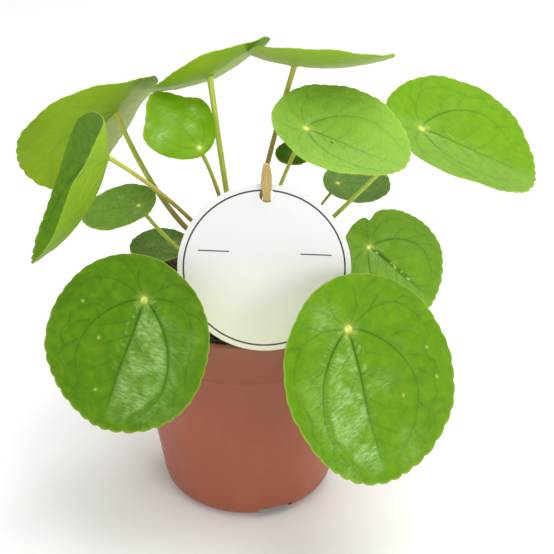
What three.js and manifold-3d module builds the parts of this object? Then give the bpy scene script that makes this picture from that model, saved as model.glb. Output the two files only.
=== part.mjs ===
// A young Chinese money plant in its 12 cm nursery pot, with a round card label on a bamboo stake.
// Millimetres, +Z up. The origin is the middle of the pot's underside, on the surface it stands on,
// and the front of the plant, where the label stands, looks along -Y.

import * as THREE from 'three';
import { mergeVertices } from 'three/addons/utils/BufferGeometryUtils.js';
import Module from 'manifold-3d';

const wasm = await Module();
wasm.setup();

// ---------------------------------------------------------------- driving dimensions

const CLEARANCE = 0.3; // gap between pieces that touch

const POT = {
  height: 112,
  rimRadius: 60, // outside, at the lip
  footRadius: 42, // where the line of the wall would reach the ground
  cornerRadius: 9, // rounding from wall to foot
  wall: 1.6,
  bandHeight: 20, // thickened band below the lip
  bandStep: 0.9, // how far the band stands out from the wall
  footWidth: 5, // flat ring that the pot stands on
  floorLift: 4, // underside of the floor above the ground
  hubRadius: 9, // flat boss in the middle of the underside
  notchWidth: 17,
  notchHeight: 6,
  notchCount: 3,
  firstNotch: -70, // degrees round from +X
  drainRadius: 3.5,
  drainCircle: 22,
  drainCount: 6,
  ribWidth: 2,
  lipRound: 0.5,
  sides: 60,
};

const SOIL = {
  depthBelowRim: 5,
  crumb: 1.1, // height of the crumbly waves
  shoulder: 1.5, // the soil falls away a little at the pot's wall
  footRound: 8, // bottom edge, cut back to clear the pot's corner
  footSetBack: 4,
  sides: 40,
  rings: 5,
};

const STEM = {
  radius: 5.5,
  top: 129,
  buried: 66, // height of its lower end, inside the soil
  rootRadius: 3.3, // at the lower end
  rootTaper: 8,
  scarStep: 7, // height between the rings of old leaf scars
  scarDepth: 0.5,
  sides: 16,
};

const CARD = {
  diameter: 76,
  thickness: 0.8,
  lean: 12, // degrees back from upright
  bottom: [9.4, -61.2, 111.4],
  holeRadius: 3.2,
  holeHeight: 71, // hole centre above the bottom edge, along the card
  holeAside: 1.2,
  sides: 40,
};

const STAKE = {
  width: 4.6,
  thickness: 1.8,
  lean: -18, // degrees: the top leans forward through the hole in the card
  above: 18.2, // length above the hole
  below: 118, // length below the hole, down into the soil
  taperTop: 7,
  taperPoint: 16,
  topWidth: 2.6,
  waistWidth: 3.3, // where it passes through the hole
  waistAbove: 6, // the stake is at full width again at these distances from the hole
  waistBelow: 8,
  edge: 0.4,
};

const BLADE = {
  thickness: 0.8,
  rings: [0.16, 0.36, 0.6, 0.82, 1], // shares of the way from the stalk to the margin
  ringParts: [8, 4, 2, 2, 1], // the margin's points divided by this
  largeRing: 80, // points round the margin of a large blade
  smallRing: 56,
  smallBelow: 40, // blades shorter than this are small
  pointsPerScallop: 4,
  scallopDepth: 0.012, // of the radius
  ripples: 5, // gentle waves out of the surface, at the margin
  rippleHeight: 0.007, // of the length
};

const PETIOLE = {
  steps: 9,
  sides: 8,
  seat: 0.35, // gap under the blade
};

// Every leaf. at: where the stalk meets the blade. face: compass bearing, from +X, that the upper
// side leans towards, and tilt: how far. spin: turn of the midrib from straight downhill.
// foot: share of the length behind the stalk. foldLeft, foldRight: how far each half folds up
// from the midrib, crease: how wide the fold is. tip, base: how far the two ends curve up.
// egg: how much wider the tip's half is, gather: how many times stronger the fold is at the base.
// stalk: radius, its height on the stem, and the point that it bends towards.
const LEAVES = [
  { number: 1, at: [-43, -62, 138], face: -107, tilt: 64, spin: -13, length: 80, width: 76, foot: 0.24,
    foldLeft: 5, foldRight: 7, crease: 0.5, tip: -3, base: 12,
    stalk: { radius: 1.6, height: 113, bend: [-30, -38, 124] } },
  { number: 2, at: [46, -75, 131], face: -57, tilt: 60, spin: 6, length: 92, width: 86, foot: 0.25,
    foldLeft: 6, foldRight: 8, crease: 0.5, tip: -1, base: 10,
    stalk: { radius: 1.7, height: 112, bend: [48, -46, 121] } },
  { number: 3, at: [-62, 27, 190], face: 136, tilt: 51, spin: 13, length: 79, width: 78, foot: 0.32,
    foldLeft: 24, foldRight: 15, crease: 0.4, tip: -18, base: -1, egg: 0.2, gather: 0.9,
    stalk: { radius: 1.45, height: 123, bend: [-36, 2, 134] } },
  { number: 4, at: [-58, -42, 197], face: -174, tilt: 78.7, spin: -3, length: 80, width: 73, foot: 0.21,
    foldLeft: 26, foldRight: 25, crease: 0.2, tip: 49, base: 22, egg: -0.3, gather: 0.75,
    stalk: { radius: 1.15, height: 114, bend: [-20, -21, 160] } },
  { number: 5, at: [-16, 12, 214], face: 136, tilt: 37, spin: -44, length: 69, width: 64, foot: 0.3,
    foldLeft: 19, foldRight: 10, crease: 0.63, tip: 9, base: 32,
    stalk: { radius: 1.6, height: 125, bend: [-8, 6, 145] } },
  { number: 6, at: [23, 4, 222], face: 80, tilt: 29, spin: -42, length: 70, width: 66, foot: 0.28,
    foldLeft: 17, foldRight: 9, crease: 0.6, tip: 22, base: 24,
    stalk: { radius: 1.3, height: 121, bend: [4, 7, 152] } },
  { number: 7, at: [-20, -10, 187], face: -72, tilt: 42, spin: 206, length: 36, width: 34, foot: 0.1,
    foldLeft: -10, foldRight: -14, crease: 0.5, tip: -7, base: -30,
    stalk: { radius: 1.1, height: 120, bend: [-11, -2, 165] } },
  { number: 8, at: [28, -18, 200], face: -51, tilt: 23, spin: 49, length: 65, width: 60, foot: 0.26,
    foldLeft: 12, foldRight: 13, crease: 0.5, tip: 3, base: 21,
    stalk: { radius: 1.05, height: 119, bend: [12, 1, 157] } },
  { number: 9, at: [84, 25, 182], face: -38, tilt: 27, spin: 37, length: 82, width: 78, foot: 0.25,
    foldLeft: 15, foldRight: 16, crease: 0.5, tip: -2, base: 15,
    stalk: { radius: 1.25, height: 110, bend: [45, 5, 145] } },
  { number: 10, at: [-49, -8, 157], face: -148, tilt: 18, spin: -40, length: 37, width: 34, foot: 0.24,
    foldLeft: 5, foldRight: 5, crease: 0.5, tip: 3, base: 13,
    stalk: { radius: 1.1, height: 112, bend: [-27, -12, 126] } },
  { number: 11, at: [-35, 4, 131], face: -120, tilt: 8, spin: -36, length: 29, width: 28, foot: 0.27,
    foldLeft: 4, foldRight: 9, crease: 0.5, tip: 9, base: 8,
    stalk: { radius: 1, height: 111, bend: [-21, 2, 115] } },
  { number: 12, at: [45, 33, 149], face: -60, tilt: 14, spin: 68, length: 34, width: 32, foot: 0.22,
    foldLeft: 5, foldRight: 3, crease: 0.5, tip: 8, base: 5,
    stalk: { radius: 0.85, height: 111, bend: [25, 18, 128] } },
  { number: 13, at: [25, 16, 175], face: -88, tilt: 17, spin: -33, length: 19, width: 17, foot: 0.28,
    foldLeft: 2, foldRight: 6, crease: 0.5, tip: 10, base: 6,
    stalk: { radius: 0.9, height: 119, bend: [16, 16, 161] } },
  { number: 14, at: [58, -15, 139], face: -62, tilt: 59, spin: 39, length: 55, width: 52, foot: 0.24,
    foldLeft: 13, foldRight: 12, crease: 0.5, tip: 1, base: 11,
    stalk: { radius: 1.4, height: 111, bend: [32, -8, 118] } },
];

const PLASTIC = { color: 0x9c5340, roughness: 0.5, metalness: 0 };
const PEAT = { color: 0x2b2019, roughness: 1, metalness: 0 };
const BARK = { color: 0x6b5a35, roughness: 0.85, metalness: 0 };
const LEAF_GREEN = { color: 0x5f9a14, roughness: 0.4, metalness: 0 };
const STALK_GREEN = { color: 0x8f9a2a, roughness: 0.45, metalness: 0 };
const BOARD = { color: 0xf2f0ea, roughness: 0.7, metalness: 0 };
const BAMBOO = { color: 0xd9bd80, roughness: 0.65, metalness: 0 };

// ---------------------------------------------------------------- solids and meshes

const radians = THREE.MathUtils.degToRad;

// One closed skin: shared corners merged and the empty triangles at a lathe's poles dropped.
function weld(geometry) {
  const bare = new THREE.BufferGeometry();
  bare.setAttribute('position', geometry.getAttribute('position'));
  bare.setIndex(geometry.getIndex());
  const merged = mergeVertices(bare, 1e-4);
  const corners = merged.index.array;
  const kept = [];
  for (let i = 0; i < corners.length; i += 3) {
    const [a, b, c] = corners.subarray(i, i + 3);
    if (a !== b && b !== c && c !== a) {
      kept.push(a, b, c);
    }
  }
  merged.setIndex(kept);
  return merged;
}

function toSolid(geometry) {
  const skin = weld(geometry);
  return new wasm.Manifold(new wasm.Mesh({
    numProp: 3,
    vertProperties: Float32Array.from(skin.attributes.position.array),
    triVerts: Uint32Array.from(skin.index.array),
  }));
}

function toGeometry(solid) {
  const { vertProperties, triVerts } = solid.getMesh();
  const geometry = new THREE.BufferGeometry();
  geometry.setAttribute('position', new THREE.BufferAttribute(vertProperties, 3));
  geometry.setIndex(new THREE.BufferAttribute(triVerts, 1));
  geometry.computeVertexNormals();
  return geometry;
}

function namedMesh(name, geometry, finish) {
  const mesh = new THREE.Mesh(geometry, new THREE.MeshStandardMaterial(finish));
  mesh.name = name;
  return mesh;
}

// A profile of [radius, height] pairs, listed from the bottom outwards and up, turned round +Z.
function turned(profile, sides) {
  const points = profile.map(([radius, height]) => new THREE.Vector2(radius, height));
  return new THREE.LatheGeometry(points, sides).rotateX(Math.PI / 2);
}

// A vertical round bar standing on z = low.
function roundBar(radius, low, high, sides) {
  const bar = new THREE.CylinderGeometry(radius, radius, high - low, sides);
  return bar.rotateX(Math.PI / 2).translate(0, 0, (low + high) / 2);
}

// ---------------------------------------------------------------- pot

// Outside radius of the plain wall at a height.
const wallTop = POT.rimRadius - POT.bandStep;
const wallSlope = (wallTop - POT.footRadius) / POT.height;
const wallRadius = (height) => POT.footRadius + wallSlope * height;
const wallAngle = Math.atan(wallSlope);
const wallRun = POT.wall / Math.cos(wallAngle); // wall thickness, measured level
const cornerMiddle = POT.footRadius
  - POT.cornerRadius * (1 - Math.sin(wallAngle)) / Math.cos(wallAngle);
const footInner = cornerMiddle - POT.footWidth;
const innerRadius = (height) => wallRadius(height) - wallRun;

// Points round the foot's corner, from under the foot up to the wall.
function cornerArc(radius, steps) {
  const from = -Math.PI / 2;
  const to = -wallAngle;
  return Array.from({ length: steps + 1 }, (_, i) => {
    const angle = from + (to - from) * i / steps;
    return [cornerMiddle + radius * Math.cos(angle), POT.cornerRadius + radius * Math.sin(angle)];
  });
}

function potProfile() {
  const { height, bandHeight, bandStep, wall, floorLift, lipRound } = POT;
  const bandFoot = height - bandHeight;
  const outside = [
    [0, floorLift],
    [footInner, floorLift],
    [footInner, 0],
    ...cornerArc(POT.cornerRadius, 5),
    [wallRadius(bandFoot - bandStep), bandFoot - bandStep],
    [wallRadius(bandFoot) + bandStep, bandFoot],
    [POT.rimRadius, height - lipRound],
    [POT.rimRadius - lipRound, height],
  ];
  const inside = [
    [innerRadius(height) + lipRound, height],
    [innerRadius(height), height - lipRound],
    ...cornerArc(POT.cornerRadius - wall, 4).reverse(),
    [footInner + wall, wall],
    [footInner + wall, floorLift + wall],
    [0, floorLift + wall],
  ];
  return [...outside, ...inside];
}

function nurseryPot() {
  const floorTop = POT.floorLift + POT.wall;
  let pot = toSolid(turned(potProfile(), POT.sides));

  // Boss and ribs that stiffen the raised floor, flush with the foot.
  const sunk = floorTop - POT.wall / 2;
  pot = pot.add(toSolid(roundBar(POT.hubRadius, 0, sunk, POT.sides / 2)));
  const turn = 2 * Math.PI / POT.notchCount;
  for (let i = 0; i < POT.notchCount; i += 1) {
    const angle = radians(POT.firstNotch) + i * turn;

    const rib = new THREE.BoxGeometry(footInner - POT.hubRadius + POT.wall, POT.ribWidth, sunk);
    rib.translate((footInner + POT.hubRadius) / 2, 0, sunk / 2).rotateZ(angle + turn / 2);
    pot = pot.add(toSolid(rib));

    // Water runs out through a wide notch in the foot.
    const reach = POT.footWidth + POT.cornerRadius;
    const notch = new THREE.BoxGeometry(reach, POT.notchWidth, 2 * POT.notchHeight);
    notch.translate(cornerMiddle + reach / 2, 0, 0).rotateZ(angle);
    pot = pot.subtract(toSolid(notch));
  }

  for (let i = 0; i < POT.drainCount; i += 1) {
    const angle = radians(POT.firstNotch) + (i + 0.5) * 2 * Math.PI / POT.drainCount;
    const drain = roundBar(POT.drainRadius, -1, floorTop + 1, POT.sides / 3);
    drain.translate(POT.drainCircle * Math.cos(angle), POT.drainCircle * Math.sin(angle), 0);
    pot = pot.subtract(toSolid(drain));
  }
  return toGeometry(pot);
}

// ---------------------------------------------------------------- stem

// A stubby woody stem with a ring at each old leaf scar and a domed growing tip.
function stemProfile(spare) {
  const { radius, top, buried, rootRadius, rootTaper, scarStep, scarDepth } = STEM;
  const shoulder = top - radius;
  const profile = [[0, buried - spare], [rootRadius + spare, buried - spare]];
  for (let z = buried + rootTaper; z < shoulder - scarStep / 2; z += scarStep) {
    profile.push([radius + spare, z], [radius + scarDepth + spare, z + scarStep * 0.3]);
  }
  const steps = 4;
  const dome = radius + spare;
  for (let i = 0; i < steps; i += 1) {
    const angle = i / steps * Math.PI / 2;
    profile.push([dome * Math.cos(angle), shoulder + dome * Math.sin(angle)]);
  }
  profile.push([0, top + spare]);
  return profile;
}

const stemGeometry = turned(stemProfile(0), STEM.sides);
const stemRoom = toSolid(turned(stemProfile(CLEARANCE), STEM.sides));

// ---------------------------------------------------------------- label and stake

// The card stands on its lowest point. Its own X runs along the card and its own Y up the card.
function labelCard() {
  const radius = CARD.diameter / 2;
  const disc = new THREE.Shape().absarc(0, radius, radius, 0, 2 * Math.PI);
  const hole = new THREE.Path();
  hole.absarc(CARD.holeAside, CARD.holeHeight, CARD.holeRadius, 0, 2 * Math.PI);
  disc.holes.push(hole);
  const card = new THREE.ExtrudeGeometry(disc, {
    depth: CARD.thickness,
    bevelEnabled: false,
    curveSegments: CARD.sides,
  });
  return weld(card.translate(0, 0, -CARD.thickness / 2));
}

// A flat bamboo stake with its edges eased, measured from where it passes through the card.
function labelStake(spare) {
  const { width, thickness, above, below, taperTop, taperPoint, topWidth, edge } = STAKE;
  const { waistWidth, waistAbove, waistBelow } = STAKE;
  const half = width / 2 + spare - edge;
  const tip = topWidth / 2 + spare - edge;
  const waist = waistWidth / 2 + spare - edge;
  const point = 0.5;
  const outline = new THREE.Shape([
    [-point, -below - spare], [point, -below - spare], [half, -below + taperPoint],
    [half, -waistBelow], [waist, 0], [half, waistAbove],
    [half, above - taperTop], [tip, above + spare], [-tip, above + spare],
    [-half, above - taperTop], [-half, waistAbove], [-waist, 0], [-half, -waistBelow],
    [-half, -below + taperPoint],
  ].map(([x, y]) => new THREE.Vector2(x, y)));
  const depth = thickness + 2 * spare - 2 * edge;
  const stake = new THREE.ExtrudeGeometry(outline, {
    depth,
    bevelSize: edge,
    bevelThickness: edge,
    bevelSegments: 1,
  });
  return weld(stake.translate(0, 0, -depth / 2));
}

function standCard(mesh) {
  mesh.position.set(...CARD.bottom);
  mesh.rotation.x = radians(90 - CARD.lean);
  mesh.updateMatrixWorld();
  return mesh;
}

const card = standCard(namedMesh('plant_label', labelCard(), BOARD));

function standStake(mesh) {
  mesh.position.set(CARD.holeAside, CARD.holeHeight, 0).applyMatrix4(card.matrixWorld);
  mesh.rotation.x = radians(90 - STAKE.lean);
  mesh.updateMatrixWorld();
  return mesh;
}

const stake = standStake(namedMesh('label_stake', labelStake(0), BAMBOO));

// ---------------------------------------------------------------- soil

// Height of the crumbly surface: three crossed waves of different lengths.
function crumbs(x, y) {
  const waves = Math.sin(x / 3.1 + y / 5.3) + Math.sin(x / 4.7 - y / 2.9) + Math.sin(y / 3.7);
  return SOIL.crumb / 3 * waves;
}

function pottingSoil() {
  const bottom = POT.floorLift + POT.wall + CLEARANCE;
  const level = POT.height - SOIL.depthBelowRim;
  const fit = (height) => innerRadius(height) - CLEARANCE;
  const { shoulder, footRound, footSetBack } = SOIL;
  const profile = [
    [0, bottom],
    [fit(bottom) - footSetBack, bottom],
    [fit(bottom + footRound), bottom + footRound],
    [fit(level - shoulder), level - shoulder],
  ];
  for (let ring = SOIL.rings; ring >= 0; ring -= 1) {
    profile.push([(fit(level) - shoulder) * ring / SOIL.rings, level]);
  }
  const lump = turned(profile, SOIL.sides);
  const spots = lump.attributes.position;
  for (let i = 0; i < spots.count; i += 1) {
    if (spots.getZ(i) > level - shoulder / 2) {
      spots.setZ(i, level + crumbs(spots.getX(i), spots.getY(i)));
    }
  }
  const stakeRoom = labelStake(CLEARANCE).applyMatrix4(stake.matrixWorld);
  return toGeometry(toSolid(lump).subtract(stemRoom).subtract(toSolid(stakeRoom)));
}

// ---------------------------------------------------------------- leaves

// The blade's own directions: normal out of the upper side, midrib towards the tip, and left.
function bladeAxes(leaf) {
  const face = radians(leaf.face);
  const tilt = radians(leaf.tilt);
  const spin = radians(leaf.spin);
  const level = new THREE.Vector3(Math.cos(face), Math.sin(face), 0);
  const up = new THREE.Vector3(0, 0, 1);
  const normal = up.clone().multiplyScalar(Math.cos(tilt)).addScaledVector(level, Math.sin(tilt));
  const downhill = level.clone().multiplyScalar(Math.cos(tilt)).addScaledVector(up, -Math.sin(tilt));
  const midrib = downhill.applyAxisAngle(normal, spin);
  const left = new THREE.Vector3().crossVectors(normal, midrib);
  return { normal, midrib, left };
}

// A strip that turns up to an angle over a rounded crease and then runs straight.
function creased(across, angle, crease) {
  const length = Math.abs(across);
  const bend = angle / crease;
  const turnedBy = bend * Math.min(length, crease);
  const rest = Math.max(length - crease, 0);
  const out = Math.sin(turnedBy) / bend + rest * Math.cos(angle);
  const up = (1 - Math.cos(turnedBy)) / bend + rest * Math.sin(angle);
  return [Math.sign(across) * out, up];
}

// A point of the blade's middle surface. share runs from 0 at the stalk to 1 at the margin,
// and around is the angle from the midrib. waved turns the scallops and ripples on.
function bladePoint(leaf, axes, share, around, waved = true) {
  const { egg = 0, gather = 1 } = leaf;
  const halfLength = leaf.length / 2;
  const halfWidth = leaf.width / 2;
  const ahead = (0.5 - leaf.foot) * leaf.length; // from the stalk to the blade's middle
  const scallops = marginPoints(leaf) / BLADE.pointsPerScallop;
  const dip = 1 - Math.abs(Math.sin(scallops * around / 2));
  const wave = Math.sin(BLADE.ripples * around + leaf.number);
  const notch = waved ? BLADE.scallopDepth * share ** 8 * dip : 0;
  const ripple = waved ? BLADE.rippleHeight * leaf.length * share ** 3 * wave : 0;
  const along = share * (ahead + halfLength * Math.cos(around)) * (1 - notch);
  const across = share * halfWidth * Math.sin(around) * (1 + egg * Math.cos(around)) * (1 - notch);

  const toBase = THREE.MathUtils.smoothstep(-along, 0, halfLength - ahead);
  const fold = radians(across > 0 ? leaf.foldLeft : leaf.foldRight) * (1 + (gather - 1) * toBase);
  const [side, lift] = creased(across, fold, leaf.crease * halfWidth);
  const rise = lift + ripple;

  // The midrib curves up in one arc to the tip and another to the base.
  const reach = along > 0 ? ahead + halfLength : halfLength - ahead;
  const bend = radians(along > 0 ? leaf.tip : leaf.base) / reach;
  const angle = bend * along;
  const forward = Math.sin(angle) / bend - rise * Math.sin(angle);
  const up = (1 - Math.cos(angle)) / bend + rise * Math.cos(angle);

  return new THREE.Vector3(...leaf.at)
    .addScaledVector(axes.midrib, forward)
    .addScaledVector(axes.left, side)
    .addScaledVector(axes.normal, up);
}

function marginPoints(leaf) {
  return leaf.length < BLADE.smallBelow ? BLADE.smallRing : BLADE.largeRing;
}

// The blade's normal there, from short steps over the unwaved surface.
function bladeNormal(leaf, axes, share, around) {
  const step = 0.01;
  const here = bladePoint(leaf, axes, share, around, false);
  const out = bladePoint(leaf, axes, share - step, around, false).sub(here).negate();
  const onward = bladePoint(leaf, axes, share, around + step, false).sub(here);
  return out.cross(onward).normalize();
}

// Rings of points from the stalk to the margin, alike on the upper and the lower face.
function leafBlade(leaf, axes) {
  const margin = marginPoints(leaf);
  const counts = BLADE.ringParts.map((part) => margin / part);
  const positions = [];
  const triangles = [];
  const faces = [BLADE.thickness / 2, -BLADE.thickness / 2].map((offset) => {
    const middle = new THREE.Vector3(...leaf.at).addScaledVector(axes.normal, offset);
    const first = positions.length / 3;
    positions.push(...middle);
    const rings = counts.map((count, ring) => {
      const start = positions.length / 3;
      for (let i = 0; i < count; i += 1) {
        const around = i / count * 2 * Math.PI;
        const normal = bladeNormal(leaf, axes, BLADE.rings[ring], around);
        const spot = bladePoint(leaf, axes, BLADE.rings[ring], around).addScaledVector(normal, offset);
        positions.push(...spot);
      }
      return { start, count };
    });
    return { middle: first, rings };
  });

  faces.forEach(({ middle, rings }, lower) => {
    const face = (a, b, c) => (lower ? triangles.push(a, c, b) : triangles.push(a, b, c));
    const at = (ring, i) => ring.start + (i % ring.count);
    const centre = rings[0];
    for (let i = 0; i < centre.count; i += 1) {
      face(middle, at(centre, i), at(centre, i + 1));
    }
    for (let k = 1; k < rings.length; k += 1) {
      const inner = rings[k - 1];
      const outer = rings[k];
      for (let i = 0; i < inner.count; i += 1) {
        if (outer.count === inner.count) {
          face(at(inner, i), at(outer, i), at(outer, i + 1));
          face(at(inner, i), at(outer, i + 1), at(inner, i + 1));
        } else {
          face(at(inner, i), at(outer, 2 * i), at(outer, 2 * i + 1));
          face(at(inner, i), at(outer, 2 * i + 1), at(inner, i + 1));
          face(at(inner, i + 1), at(outer, 2 * i + 1), at(outer, 2 * i + 2));
        }
      }
    }
  });

  // Rim strip between the two faces.
  const [upper, lower] = faces.map(({ rings }) => rings[rings.length - 1].start);
  for (let i = 0; i < margin; i += 1) {
    const next = (i + 1) % margin;
    triangles.push(lower + i, lower + next, upper + next);
    triangles.push(lower + i, upper + next, upper + i);
  }

  const geometry = new THREE.BufferGeometry();
  geometry.setAttribute('position', new THREE.Float32BufferAttribute(positions, 3));
  geometry.setIndex(triangles);
  geometry.computeVertexNormals();
  return geometry;
}

// The stalk leaves the stem, bends once and ends square on the underside of the blade.
function leafPetiole(leaf, axes) {
  const { radius, height, bend } = leaf.stalk;
  const seat = BLADE.thickness / 2 + PETIOLE.seat;
  const knee = new THREE.Vector3(...bend);
  const bearing = Math.atan2(knee.y, knee.x);
  const inStem = STEM.radius / 2;
  const root = new THREE.Vector3(inStem * Math.cos(bearing), inStem * Math.sin(bearing), height);
  const end = new THREE.Vector3(...leaf.at).addScaledVector(axes.normal, -seat);
  const path = new THREE.QuadraticBezierCurve3(root, knee, end);
  const corners = Array.from({ length: PETIOLE.sides }, (_, i) => {
    const angle = i / PETIOLE.sides * 2 * Math.PI;
    return new THREE.Vector2(radius * Math.cos(angle), radius * Math.sin(angle));
  });
  const tube = new THREE.ExtrudeGeometry(new THREE.Shape(corners), {
    steps: PETIOLE.steps,
    extrudePath: path,
    bevelEnabled: false,
  });

  // The last ring slides along the stalk until it lies in the blade's plane.
  const heading = end.clone().sub(knee).normalize();
  const spots = tube.attributes.position;
  const spot = new THREE.Vector3();
  for (let i = 0; i < spots.count; i += 1) {
    spot.fromBufferAttribute(spots, i).sub(end);
    if (Math.abs(spot.dot(heading)) < CLEARANCE / 4) {
      const slide = -spot.dot(axes.normal) / heading.dot(axes.normal);
      spot.addScaledVector(heading, slide).add(end);
      spots.setXYZ(i, ...spot);
    }
  }
  return toGeometry(toSolid(tube).subtract(stemRoom));
}

// ---------------------------------------------------------------- the plant in its pot

const plant = new THREE.Group();
plant.add(namedMesh('nursery_pot', nurseryPot(), PLASTIC));
plant.add(namedMesh('potting_soil', pottingSoil(), PEAT));
plant.add(namedMesh('main_stem', stemGeometry, BARK));
plant.add(card);
plant.add(stake);

for (const leaf of LEAVES) {
  const axes = bladeAxes(leaf);
  const name = `leaf_${String(leaf.number).padStart(2, '0')}`;
  plant.add(namedMesh(`${name}_blade`, leafBlade(leaf, axes), LEAF_GREEN));
  plant.add(namedMesh(`${name}_petiole`, leafPetiole(leaf, axes), STALK_GREEN));
}

export default plant;
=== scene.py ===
import bpy
import numpy as np
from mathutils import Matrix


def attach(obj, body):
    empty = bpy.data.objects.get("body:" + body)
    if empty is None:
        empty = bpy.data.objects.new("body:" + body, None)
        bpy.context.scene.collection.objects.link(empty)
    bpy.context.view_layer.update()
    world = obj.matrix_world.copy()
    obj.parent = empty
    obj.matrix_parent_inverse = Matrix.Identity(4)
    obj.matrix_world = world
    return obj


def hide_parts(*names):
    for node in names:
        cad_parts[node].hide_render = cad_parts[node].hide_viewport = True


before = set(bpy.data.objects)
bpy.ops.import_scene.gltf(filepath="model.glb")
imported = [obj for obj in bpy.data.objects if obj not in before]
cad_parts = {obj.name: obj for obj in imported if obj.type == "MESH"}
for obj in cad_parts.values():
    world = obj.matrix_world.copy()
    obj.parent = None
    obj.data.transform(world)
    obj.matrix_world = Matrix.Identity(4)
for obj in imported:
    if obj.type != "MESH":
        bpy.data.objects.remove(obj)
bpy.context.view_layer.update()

# ------------------------------------------------------------------ nursery pot
# A 12 cm grower's pot: thin polypropylene, injection moulded in terracotta brown, with a thicker
# band under the lip, a raised floor with drain holes, and three notches in the foot that let
# water out. The mould leaves a satin skin with faint flow marks; handling leaves dust and scuffs.

# in millimetres, as every size and place down to the studio
POT_HEIGHT = 112
POT_RIM = 60
POT_FOOT = 42
POT_CORNER = 9
POT_WALL = 1.6
BAND_HEIGHT = 20
BAND_STEP = 0.9
FOOT_WIDTH = 5
FLOOR_LIFT = 4
HUB_RADIUS = 9
NOTCH_WIDTH = 17
NOTCH_HEIGHT = 6
NOTCH_ANGLES = np.radians([-70, 50, 170])
DRAIN_RADIUS = 3.5
DRAIN_CIRCLE = 22
DRAIN_ANGLES = np.radians(-40 + 60 * np.arange(6))
RIB_WIDTH = 2
RIB_HEIGHT = 0.8
BEAD_DROP = 2.8
BEAD_HEIGHT = 0.3
LIP_EASE = 0.6
POT_SIDES = 180
FAN_RADIUS = 1.5  # a fan of faces closes the floor's middle inside this radius

SLOPE = (POT_RIM - BAND_STEP - POT_FOOT) / POT_HEIGHT
WALL_ANGLE = np.arctan(SLOPE)
WALL_RUN = POT_WALL / np.cos(WALL_ANGLE)
CORNER_MIDDLE = POT_FOOT - POT_CORNER * (1 - np.sin(WALL_ANGLE)) / np.cos(WALL_ANGLE)


def linear(colour):
    """Linear RGBA of an sRGB hex colour: each channel goes through the sRGB curve."""
    channels = np.array([int(colour[i:i + 2], 16) for i in (1, 3, 5)]) / 255
    curved = np.where(channels <= 0.04045, channels / 12.92, ((channels + 0.055) / 1.055) ** 2.4)
    return (*curved.tolist(), 1.0)


def feed(socket, value):
    """Sets a socket to a value, or links it to a socket or to the first output in use of a node."""
    if isinstance(value, bpy.types.Node):
        value = next(output for output in value.outputs if output.enabled)
    if isinstance(value, bpy.types.NodeSocket):
        socket.id_data.links.new(value, socket)
    else:
        socket.default_value = value


def add(tree, kind, *inputs, **named):
    """Adds a shader node; a capital name is an input, a small one a setting.

    The values without a name go to the inputs that are in use, in their order.
    """
    node = tree.nodes.new("ShaderNode" + kind)
    for name, value in named.items():
        if name.islower():
            setattr(node, name, value)
        else:
            feed(node.inputs[name], value)
    for socket, value in zip([socket for socket in node.inputs if socket.enabled], inputs):
        feed(socket, value)
    return node


def new_material(name, **constants):
    """A material and its node tree; the constant values go on the Principled shader's own sockets."""
    material = bpy.data.materials.new(name)
    material.use_nodes = True
    tree = material.node_tree
    for socket, value in constants.items():
        tree.nodes["Principled BSDF"].inputs[socket.replace("_", " ")].default_value = value
    return material, tree


def finish(tree, base, layers, relief, roughness=None):
    """Joins colour, relief and roughness to a material's shader.

    Each layer is an amount and the colour that it lays over those below it. The relief is what
    gives its height, its strength and its depth in metres.
    """
    shader = tree.nodes["Principled BSDF"]
    colour = linear(base) if isinstance(base, str) else base
    for amount, over in layers:
        colour = add(tree, "Mix", amount, colour, linear(over), data_type="RGBA")
    feed(shader.inputs["Base Color"], colour)
    height, strength, depth = relief
    feed(shader.inputs["Normal"], add(tree, "Bump", Strength=strength, Distance=depth, Height=height))
    if roughness:
        feed(shader.inputs["Roughness"], roughness)


def new_object(name, data):
    """An object in the scene, at the origin, unturned and unscaled."""
    piece = bpy.data.objects.new(name, data)
    bpy.context.scene.collection.objects.link(piece)
    return piece


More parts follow.
